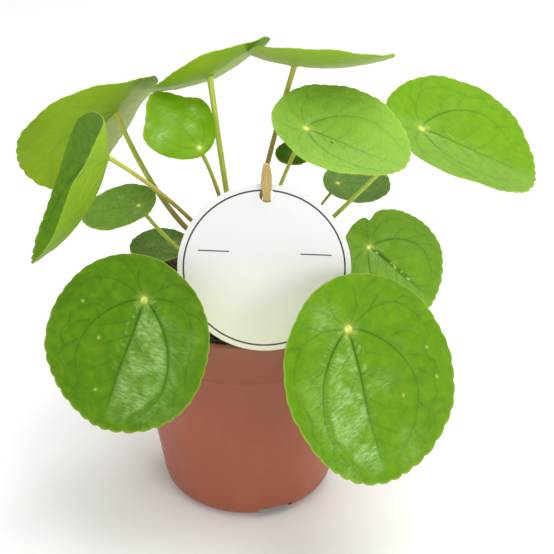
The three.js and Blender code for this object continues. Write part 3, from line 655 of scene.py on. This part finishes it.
def leaf_values(number, along, across):
    """What the veins and marks make of a blade: values for its materials, and the relief in mm.

    A vein's line narrows towards its end, in a groove and a wider hollow. Ticks are short pale
    strokes on both sides of the main veins: a sine wave along each vein, broken up by soft noise.
    """
    length, width, _ = LEAVES[number][2]
    size = np.sqrt(length / 80)
    veined = VEINED.get(number, 1)
    broken = np.clip(0.5 + waves(across, along, (9, 4), 70 + number), 0, 1)
    line, groove, halo, tick = (np.zeros_like(along) for _ in range(4))
    for strength, curve, thick in vein_curves(number):
        gap, far = distance_to(smooth_curve(curve) * [width / 2, length], across, along)
        taper = 1 - 0.55 * far
        line = np.maximum(line, strength * taper * fading(gap, thick * size * taper))
        groove = np.maximum(groove, strength * taper * fading(gap, 0.9 * size))
        halo = np.maximum(halo, strength * taper * fading(gap, 3.2 * size))
        beat = np.sin(far * np.pi * 58 * strength + 1.3 * np.sin(far * 31)) ** 6
        beside = fading(gap - 2.3 * size, 1.4 * size)
        tick = np.maximum(tick, (strength > 0.8) * np.clip(1 - far * 1.5, 0, 1) * broken * beat * beside)

    reach = np.hypot(along, across)
    spot = fading(reach, 1.1 * size) + 0.25 * fading(reach, 3 * size)
    for tear, extent in TEARS.get(number, ()):
        aside = fading(across - 0.4 - 0.3 * np.sin(along), 0.3)
        spot = np.maximum(spot, 0.75 * np.exp(-((along / length - tear) / extent) ** 4) * aside)
    for u, v in FLECKS.get(number, ()):
        spot = np.maximum(spot, 0.45 * fading(np.hypot(across - u * width / 2, along - v * length), 0.6))
    # painted highlight: the shining panel and round patches, which also make the wax glossier
    sheen = panel(number, across / (width / 2), along / length)
    for u, v, radius, strength in PAINTED_HIGHLIGHTS.get(number, ()):
        shining = fading(np.hypot(across - u * width / 2, along - v * length), radius)
        sheen = np.maximum(sheen, strength * shining)
    line = line * veined
    if number in SPECK:
        u, v = SPECK[number]
        scar = fading(np.hypot((across - u * width / 2) / 1.4, along - v * length), 0.55)
        line = np.maximum(line, 1.3 * scar)

    pucker = waves(across, along, (11 * size, 7 * size), 40 + number)
    relief = -0.32 * groove - 0.4 * halo + 0.13 * pucker * (1 - halo) - 0.7 * fading(reach, 3 * size)
    relief = size ** 3 * relief * (0.4 + 0.6 * veined)
    # the ledge rises over 1.2 mm beside the midrib, sinks back over 14 mm, and stops near both ends
    ahead = np.clip(along / 6 + 1, 0, 1) * np.clip(2.6 - 4 * along / length, 0, 1)
    ledge = ahead * np.clip(across / 1.2, 0, 1) * np.exp(-np.clip(across, 0, None) / 14)
    values = {"line": line, "halo": halo * veined, "spot": spot, "sheen": sheen,
              "tick": tick * veined * (reach > 3)}
    return values, relief + LEDGE.get(number, 0) * ledge


def painted_paleness(number, along, across):
    """How pale a face is painted where light falls on it: a ramp between two amounts, across a line that
    follows the midrib.
    """
    bearing, amount, rest, soft, _ = PAINTED_LIGHT[number]
    length, width, _ = LEAVES[number][2]
    aside = across - SWAY.get(number, 0) * along / length * width / 2
    toward = along * np.cos(np.radians(bearing)) + aside * np.sin(np.radians(bearing))
    return rest + (amount - rest) * np.clip(0.5 + toward / soft, 0, 1)


def leaf_blade(number):
    """Rings from the stalk out over the upper side, round the margin and back under the blade.

    On the flat blade, along = share * (offset to the middle + length / 2 * cos a) and across =
    share * width / 2 * sin a. It is bent, and relief and half the thickness go along its normal.
    """
    length, width, foot = LEAVES[number][2]
    large = length > LARGE_LEAF
    above, below, points = GRID[large]
    upper = np.sort(np.append(np.linspace(0, 1, above)[1:] ** 0.92, [0.992, 0.998]))
    lower = np.sort(np.append(np.linspace(0, 1, below)[1:] ** 0.92, [0.97, 0.995]))
    share = np.concatenate([upper, [1], lower[::-1]])[:, None]
    side = np.concatenate([np.ones(len(upper)), [0], -np.ones(len(lower))])[:, None]
    around = full_turn(points)[None]
    phase = around + 0.03 * np.sin(3 * around + number) + 0.02 * np.sin(7 * around)
    bite = margin_notch(share, phase, SCALLOP_DEPTH, SCALLOPS[large])
    outline = 1 + 0.006 * share ** 4 * np.sin(5 * around + 2 * number) - bite
    outline = outline + SQUARE.get(number, 0) * share ** 2 * np.cos(4 * around)
    where, breadth, depth = NOTCH.get(number, (0, 1, 0))
    outline = outline - depth * share ** 6 * np.exp(-((around - where) / breadth) ** 2)
    ahead = (0.5 - foot) * length
    along = share * (ahead + length / 2 * np.cos(around)) * outline
    across = share * width / 2 * np.sin(around) * (1 + EGG.get(number, 0) * np.cos(around)) * outline
    values, relief = leaf_values(number, along, across)
    relief = relief * (1 - share ** 12)
    wave = 0.007 * share ** 3 * np.sin(5 * around + number)
    fine_wave = 0.0035 * share ** 6 * np.sin(11 * around + 2 * number)
    ripple = (wave + fine_wave) * length * CALM.get(number, 1)

    step = 0.4
    plain = bent_blade(number, along, across)
    onward = bent_blade(number, along + step, across) - plain
    sideways = bent_blade(number, along, across + step) - plain
    normal = np.cross(onward, sideways)
    normal /= np.linalg.norm(normal, axis=-1, keepdims=True)
    thickness = BLADE_THICKNESS / 2 * (1 - 0.45 * share ** 6) * side
    rings = bent_blade(number, along, across, ripple) + (relief + thickness)[..., None] * normal

    values["rim"] = fading((1 - share) * length / 2, 0.5) + 0 * around
    values["tone"] = np.full_like(across, LEAVES[number][5])
    values["pale"] = np.zeros_like(across)
    # painted light: paler halves and leaves, on the face that the table names
    if number in PAINTED_LIGHT:
        values["pale"] = painted_paleness(number, along, across) * (side == PAINTED_LIGHT[number][4])
    # millimetres on the flat blade, and a height that gives each leaf its own stretch of the patterns
    values["flat"] = np.stack([across, along, np.full_like(across, 40.0 * number)], -1)
    rows = (np.arange(len(share) - 1) >= len(upper)).astype(int)
    return skin(f"leaf_{number:02d}_blade_living", rings, materials=(leaf_top, leaf_back),
                material_rows=rows, values=values)


def leaf_stalk(number):
    """A round stalk along a curve from the stem over its bend to the blade, swollen at both ends.

    The curve is (1 - t) squared * root + 2 t (1 - t) * bend + t squared * end.
    """
    at, angles, _, _, (thick, height, bend), _ = LEAVES[number]
    normal = blade_axes(*angles)[0]
    bend = np.array(bend, float)
    bearing = np.arctan2(bend[1], bend[0])
    root = np.array([STALK_ROOT * np.cos(bearing), STALK_ROOT * np.sin(bearing), height])
    end = np.array(at) - normal * STALK_GAP
    t = np.linspace(0, 1, STALK_GRID[0])[:, None]
    path = (1 - t) ** 2 * root + 2 * t * (1 - t) * bend + t ** 2 * end
    heading = np.gradient(path, axis=0)
    heading /= np.linalg.norm(heading, axis=1, keepdims=True)
    aside = np.cross(heading, [0.13, 0.21, 0.97])
    aside /= np.linalg.norm(aside, axis=1, keepdims=True)
    other = np.cross(heading, aside)
    angle = full_turn(STALK_GRID[1])
    swell = 0.9 + 0.4 * np.exp(-t / 0.035) + 0.22 * np.exp(-(1 - t) / 0.02) + 0.03 * np.sin(23 * t + number)
    grooved = 1 - 0.05 * np.cos(angle - 1.2) ** 12
    circle = np.cos(angle)[None, :, None] * aside[:, None] + np.sin(angle)[None, :, None] * other[:, None]
    rings = path[:, None] + thick * (swell * grooved)[..., None] * circle
    # the last rings lie against the blade's underside
    lean = (rings - end) @ normal
    rings = rings - np.maximum(lean, 0)[..., None] * normal
    return skin(f"leaf_{number:02d}_stalk_living", rings, materials=(stalk_skin,),
                values={"share": np.broadcast_to(t, STALK_GRID),
                        "brown": np.full(STALK_GRID, BROWN.get(number, 0.1))})


# Living leaf, upper side: a thick waxy cuticle over deep green. It gives a clear soft gloss, darker
# vein lines, a yellow spot over the stalk and a thin pale margin. Pale wrinkled streaks on the shining
# panels and patches are a painted highlight, and paler leaves and halves a painted sheen. IOR of leaf
# wax 1.45. The green changes over 14 mm, in patches of 4.5 mm, and the painted shine over 8 mm.
leaf_top, tree = new_material("waxy_leaf_upper_side", IOR=1.45, Specular_IOR_Level=0.1)
flat = add(tree, "Attribute", attribute_name="flat").outputs["Vector"]
line, halo, spot, rim, tone, sheen, tick, pale = [
    add(tree, "Attribute", attribute_name=name).outputs["Fac"]
    for name in ("line", "halo", "spot", "rim", "tone", "sheen", "tick", "pale")]
patch = add(tree, "TexNoise", Vector=flat, Scale=0.07, Detail=3)
mottle = add(tree, "TexNoise", Vector=flat, Scale=0.22, Detail=4, Roughness=0.5)
# wrinkles slant across the panels, about 1 mm wide and 4 mm long
slant = add(tree, "Mapping", Vector=flat, Rotation=(0, 0, 0.5), Scale=(0.35, 1.3, 1))
stroke = add(tree, "TexNoise", Vector=slant, Scale=0.8, Detail=5, Roughness=0.6)
gleam = add(tree, "TexNoise", Vector=flat, Scale=0.12, Detail=2)
old = add(tree, "Mix", tone, linear("#264710"), linear("#6c9c05"), data_type="RGBA")
new = add(tree, "Mix", tone, linear("#356014"), linear("#80b209"), data_type="RGBA")
share = add(tree, "MapRange", patch, 0.3, 0.7, 0.3, 0.7)
green = add(tree, "Mix", share, old, new, data_type="RGBA")
dapple = add(tree, "MapRange", mottle, 0.4, 0.7, 0, 0.16)
# painted highlight: pale wrinkled streaks, strongest in the shining panels and patches, which also raise the
# wrinkles' relief
wrinkled = add(tree, "MapRange", stroke, 0.38, 0.7, 0.12, 0.6)
broad = add(tree, "MapRange", gleam, 0.4, 0.6, 0.25, 1)
lit = add(tree, "Math", broad, sheen, operation="MULTIPLY")
shine = add(tree, "Math", wrinkled, lit, operation="MULTIPLY")
dash, veil, ink, border = [add(tree, "Math", value, most, operation="MULTIPLY")
                           for value, most in ((tick, 0.5), (halo, 0.3), (line, 0.85), (rim, 0.35))]
# painted sheen: the paler leaves and halves, in soft streaks
hazy = add(tree, "MapRange", stroke, 0.35, 0.65, 0.3, 0.7)
painted_pale = add(tree, "Math", hazy, pale, operation="MULTIPLY")
wax = add(tree, "MapRange", mottle, 0.3, 0.7, 0.34, 0.48)
wet = add(tree, "Math", sheen, -0.12, wax, operation="MULTIPLY_ADD")
# areoles between the finest veins, about 1.6 mm across, and the wrinkles
cells = add(tree, "TexVoronoi", Vector=flat, Scale=0.62, feature="SMOOTH_F1")
height = add(tree, "Math", cells, -0.25, mottle, operation="MULTIPLY_ADD")
ridge = add(tree, "Math", shine, 1.6, height, operation="MULTIPLY_ADD")
# the pale layers #b3c98a and #b4d48a are painted sheen and a painted highlight
finish(tree, green, [(dapple, "#8cba16"), (veil, "#35700a"), (painted_pale, "#b3c98a"), (shine, "#b4d48a"),
                     (dash, "#b4d290"), (ink, "#1d4808"), (border, "#b3bc55"), (spot, "#eef27c")],
       (ridge, 0.5, 0.0005), wet)

# Living leaf, underside: paler and matt, with pale veins and no wax gloss. On the half that catches
# more light, painted light in pale streaks 1.2 mm wide and 10 mm long; clouds of 11 mm, and a grain of 1.1
# mm.
leaf_back, tree = new_material("matt_leaf_underside", IOR=1.4, Specular_IOR_Level=0.2)
flat = add(tree, "Attribute", attribute_name="flat").outputs["Vector"]
line, halo, pale, tone = [add(tree, "Attribute", attribute_name=name).outputs["Fac"]
                          for name in ("line", "halo", "pale", "tone")]
patch = add(tree, "TexNoise", Vector=flat, Scale=0.09, Detail=4)
# painted light: the half that catches more light is drawn paler, in combed streaks
combed = add(tree, "Mapping", Vector=flat, Scale=(0.12, 1, 1))
comb = add(tree, "TexNoise", Vector=combed, Scale=0.85, Detail=3)
combing = add(tree, "MapRange", comb, 0.3, 0.7, 0.4, 0.78)
painted_pale = add(tree, "Math", combing, pale, operation="MULTIPLY")
cloud, shade, ink = [add(tree, "Math", value, most, operation="MULTIPLY")
                     for value, most in ((patch, 0.5), (halo, 0.35), (line, 0.3))]
grain = add(tree, "TexNoise", Vector=flat, Scale=0.9, Detail=4)
dull = add(tree, "MapRange", grain, 0.3, 0.7, 0.5, 0.66)
finish(tree, "#5a8512", [(tone, "#98bd1e"), (cloud, "#a2c232"), (shade, "#4f800e"),
                         (painted_pale, "#c3d084"), (ink, "#b9cf7c")], (grain, 0.45, 0.0004), dull)

# Stalk skin: smooth, yellow-green, turning brownish towards the stem, in blushes of 18 mm, with
# lengthwise streaks 0.7 mm wide.
stalk_skin, tree = new_material("smooth_stalk_skin", IOR=1.42, Roughness=0.38)
place = add(tree, "TexCoord").outputs["Object"]
along = add(tree, "Attribute", attribute_name="share").outputs["Fac"]
blush = add(tree, "TexNoise", Vector=place, Scale=55, Detail=4)
aged = add(tree, "Attribute", attribute_name="brown").outputs["Fac"]
lean = add(tree, "Math", along, blush, operation="ADD")
lean = add(tree, "Math", lean, aged, operation="SUBTRACT")
fresh = add(tree, "MapRange", lean, 0.2, 1.0, 0, 1)
streak_place = add(tree, "Mapping", Vector=place, Scale=(1, 1, 0.12))
streak = add(tree, "TexNoise", Vector=streak_place, Scale=1400, Detail=2)
young = add(tree, "Mix", streak, linear("#a0b336"), linear("#ccd65c"), data_type="RGBA")
brown = add(tree, "Mix", streak, linear("#8a6f30"), linear("#ad9648"), data_type="RGBA")
both = add(tree, "Mix", fresh, brown, young, data_type="RGBA")
finish(tree, both, [], (streak, 0.3, 0.0002))

for number in LEAVES:
    for piece, part, slot in ((leaf_blade(number), "blade", "leaf_green"),
                              (leaf_stalk(number), "petiole", "stalk_green")):
        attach(piece, "root")
        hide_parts(f"leaf_{number:02d}_{part}")

# ------------------------------------------------------------------ plant label
# A round tag punched out of coated white board, with a thin printed ring and two short rules,
# hung on the stake through one punched hole. It leans back and its foot rests near the pot's lip.

CARD_DIAMETER = 76
CARD_THICKNESS = 0.8
CARD_LEAN = np.radians(12)
CARD_FOOT = np.array([9.4, -61.2, 111.4])
HOLE_RADIUS = 3.2
HOLE_PLACE = np.array([1.2, 71])  # sideways and up from the tag's foot
PRINT_TURN = np.radians(2.3)  # the tag hangs turned a little, and its print with it
RING_RADIUS = 35.3
RULE_MIDDLE = (22.3, 7.4)  # sideways and up from the tag's middle

card_up = np.array([0, np.sin(CARD_LEAN), np.cos(CARD_LEAN)])
card_out = np.array([0, -np.cos(CARD_LEAN), np.sin(CARD_LEAN)])
angle = full_turn(240)
spoke = np.stack([np.cos(angle), np.sin(angle)], -1)
hole_ring = HOLE_PLACE + HOLE_RADIUS * spoke
outer_ring = [0, CARD_DIAMETER / 2] + CARD_DIAMETER / 2 * spoke
# from the hole out over the front, round the edge and back behind; the edges are eased
reach = np.concatenate([[0, 0.004], np.linspace(0.01, 0.99, 40), [0.997, 1, 1, 0.997],
                        np.linspace(0.99, 0.01, 20), [0.004, 0]])[:, None, None]
half = CARD_THICKNESS / 2
level = np.concatenate([[half * 0.7], np.full(41, half), [half, half * 0.7, -half * 0.7, -half],
                        np.full(20, -half), [-half, -half * 0.7]])[:, None]
plan = hole_ring + (outer_ring - hole_ring) * reach
level = level + 0 * plan[..., 0]
rings = CARD_FOOT + plan[..., :1] * [1, 0, 0] + plan[..., 1:] * card_up + level[..., None] * card_out
# millimetres from the tag's middle, and 1 on its front or 0 on its back
sheet = np.stack([plan[..., 0], plan[..., 1] - CARD_DIAMETER / 2, level > 0], -1)
label = skin("plant_label_board", rings, looped=True, values={"sheet": sheet})

# Coated board: clean white with a soft matt coat, painted paler and creamier low down as painted light
# against the shade that falls there, and the slight relief of fibres 0.6 mm across. The ring is 70.6 mm
# across and 0.8 mm thick; the rules are 13.6 mm long and 0.6 mm thick.
board, tree = new_material("coated_white_board", IOR=1.5)
sheet = add(tree, "Attribute", attribute_name="sheet").outputs["Vector"]
hung = add(tree, "Mapping", Vector=sheet, Rotation=(0, 0, PRINT_TURN))
parts = add(tree, "SeparateXYZ", hung).outputs
on_sheet = add(tree, "VectorMath", sheet, (1, 1, 0), operation="MULTIPLY")
radius = add(tree, "VectorMath", on_sheet, operation="LENGTH")
aside = add(tree, "Math", parts[0], operation="ABSOLUTE")
# the ring, and a rule sideways and upwards: its middle, and how far off the ink ends and is full
marks = []
for value, middle, end, full in ((radius, RING_RADIUS, 0.42, 0.34), (aside, RULE_MIDDLE[0], 6.9, 6.7),
                                 (parts[1], RULE_MIDDLE[1], 0.36, 0.2)):
    away = add(tree, "Math", value, middle, operation="SUBTRACT")
    away = add(tree, "Math", away, operation="ABSOLUTE")
    marks.append(add(tree, "MapRange", away, end, full, 0, 1))
rules = add(tree, "Math", *marks[1:], operation="MULTIPLY")
printed = add(tree, "Math", marks[0], rules, operation="MAXIMUM")
printed = add(tree, "Math", printed, parts[2], operation="MULTIPLY")
fibre = add(tree, "TexNoise", Vector=sheet, Scale=1.6, Detail=5)
# painted light: paler and creamier towards the foot, against the shade there
low = add(tree, "MapRange", parts[1], 5, -36, 0, 1)
soft = add(tree, "MapRange", fibre, 0.4, 0.75, 0, 0.35)
wear = add(tree, "MapRange", fibre, 0.3, 0.6, 1, 0.93)
ink = add(tree, "Math", printed, wear, operation="MULTIPLY")
coat = add(tree, "MapRange", fibre, 0.3, 0.7, 0.5, 0.62)
finish(tree, "#d6d6d5", [(low, "#f3f3da"), (soft, "#dcdbd4"), (ink, "#161615")],
       (fibre, 0.12, 0.0002), coat)
label.data.materials.append(board)
label.data.set_sharp_from_angle(angle=np.radians(40))
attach(label, "root")
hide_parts("plant_label")

# ------------------------------------------------------------------ label stake
# A flat split of bamboo, pushed through the tag's hole into the soil. Sawn and lightly sanded, it
# keeps its lengthwise fibres, a few dark pores and a blunt tapered top.

STAKE_WIDTH = 4.6
STAKE_THICKNESS = 1.8
STAKE_LEAN = np.radians(18)
STAKE_TOP = 18.2
STAKE_FOOT = -118
STAKE_POINT = 16
STAKE_SHOULDER = 12  # its blunt top narrows from here
WAIST_WIDTH = 3.3
WAIST_ABOVE = 6
WAIST_BELOW = 8

stake_up = np.array([0, -np.sin(STAKE_LEAN), np.cos(STAKE_LEAN)])
stake_out = np.array([0, -np.cos(STAKE_LEAN), -np.sin(STAKE_LEAN)])
through = CARD_FOOT + HOLE_PLACE[0] * np.array([1, 0, 0]) + HOLE_PLACE[1] * card_up
point = STAKE_FOOT + STAKE_POINT
height = np.concatenate([np.linspace(STAKE_FOOT, point, 12), np.linspace(point + 1, STAKE_SHOULDER, 90),
                         np.linspace(STAKE_SHOULDER + 0.3, STAKE_TOP - 0.4, 30),
                         [STAKE_TOP - 0.15, STAKE_TOP]])[:, None]
angle = full_turn(40)[None]
half = STAKE_WIDTH / 2
# half widths and half thicknesses at heights along it: point, waist in the hole, tapered top
wide = np.interp(height, [STAKE_FOOT, point, -WAIST_BELOW, 0, WAIST_ABOVE, STAKE_SHOULDER,
                          STAKE_TOP - 0.4, STAKE_TOP],
                 [0.55, half, half, WAIST_WIDTH / 2, half - 0.05, half, 1.35, 1.05])
deep = np.interp(height, [STAKE_FOOT, point, STAKE_SHOULDER, STAKE_TOP - 0.4, STAKE_TOP],
                 [0.5, STAKE_THICKNESS / 2, STAKE_THICKNESS / 2, 0.85, 0.6])
# a rounded oblong: cos and sin each raised to a small power
cx, sx = np.cos(angle), np.sin(angle)
aside = wide * np.sign(cx) * np.abs(cx) ** 0.55 * (1 + 0.012 * np.sin(height / 2.3))
outward = deep * np.sign(sx) * np.abs(sx) ** 0.55 + 0.03 * np.sin(aside * 9 + 0.05 * height)
rings = (through + aside[..., None] * [1, 0, 0] + (height + 0 * angle)[..., None] * stake_up
         + outward[..., None] * stake_out)
grain_place = np.stack([aside, outward, height + 0 * angle], -1)
stake = skin("label_stake_bamboo", rings, values={"grain": grain_place})

# Split bamboo: straw colour, fibre bundles about 0.3 mm wide, drawn 0.5 mm so that they show,
# darker pores along them, and a satin sanded face.
bamboo, tree = new_material("split_bamboo", IOR=1.5, Roughness=0.55)
grain = add(tree, "Attribute", attribute_name="grain").outputs["Vector"]
drawn = add(tree, "Mapping", Vector=grain, Scale=(1, 1, 0.06))
fibres = add(tree, "TexNoise", Vector=drawn, Scale=2.0, Detail=4)
dots_place = add(tree, "Mapping", Vector=grain, Scale=(1, 1, 0.3))
dots = add(tree, "TexVoronoi", Vector=dots_place, Scale=0.9)
pore = add(tree, "MapRange", dots, 0.2, 0.1, 0, 0.7)
finish(tree, "#94733a", [(fibres, "#cbb570"), (pore, "#7a5026")], (fibres, 0.5, 0.0003))
stake.data.materials.append(bamboo)
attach(stake, "root")
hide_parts("label_stake")

# ------------------------------------------------------------------ studio
# A pale sheet of paper under four square soft panels: the strongest above, one in front on the
# right, one high behind, and a weak one on the left. The camera stands at the photograph's angle.

# name, place, size and power, in metres and watts
SOFTBOXES = (("softbox_above", (0.35, -0.3, 1.25), 0.9, 10), ("softbox_front", (0.85, -1.1, 0.5), 0.7, 7),
             ("softbox_back", (0.3, 0.55, 1.3), 0.6, 6), ("softbox_left", (-1.2, -0.5, 0.45), 0.7, 3.5))
LIT_PLACE = np.array([0, 0, 0.12])
SKY_STRENGTH = 0.6
LENS = 87.08
CAMERA_PLACE = (0.015, -0.5657, 0.432)
CAMERA_PITCH = np.radians(60.7)

floor_mesh = bpy.data.meshes.new("studio_floor")
floor_mesh.from_pydata([(-4, -4, 0), (4, -4, 0), (4, 4, 0), (-4, 4, 0)], [], [(0, 1, 2, 3)])
floor = new_object("studio_floor", floor_mesh)
paper, _ = new_material("white_background_paper", Roughness=0.9, Base_Color=linear("#f5f5f4"))
floor.data.materials.append(paper)

world = bpy.data.worlds.new("studio")
bpy.context.scene.world = world
world.use_nodes = True
world.node_tree.nodes["Background"].inputs["Color"].default_value = (1, 1, 1, 1)
world.node_tree.nodes["Background"].inputs["Strength"].default_value = SKY_STRENGTH

for name, place, size, power in SOFTBOXES:
    light = bpy.data.lights.new(name, "AREA")
    light.shape, light.size, light.energy = "SQUARE", size, power
    lamp = new_object(name, light)
    lamp.location = place
    aim = LIT_PLACE - place
    yaw = np.arctan2(aim[0], -aim[1])
    pitch = np.arctan2(np.hypot(aim[0], aim[1]), -aim[2])
    lamp.rotation_euler = (-pitch, 0, yaw)

bpy.context.scene.view_settings.view_transform = "Standard"

view = bpy.data.cameras.new("photo_camera")
view.lens, view.sensor_width = LENS, 36
camera = new_object("photo_camera", view)
camera.location = CAMERA_PLACE
camera.rotation_euler = (CAMERA_PITCH, 0, 0)
bpy.context.scene.camera = camera
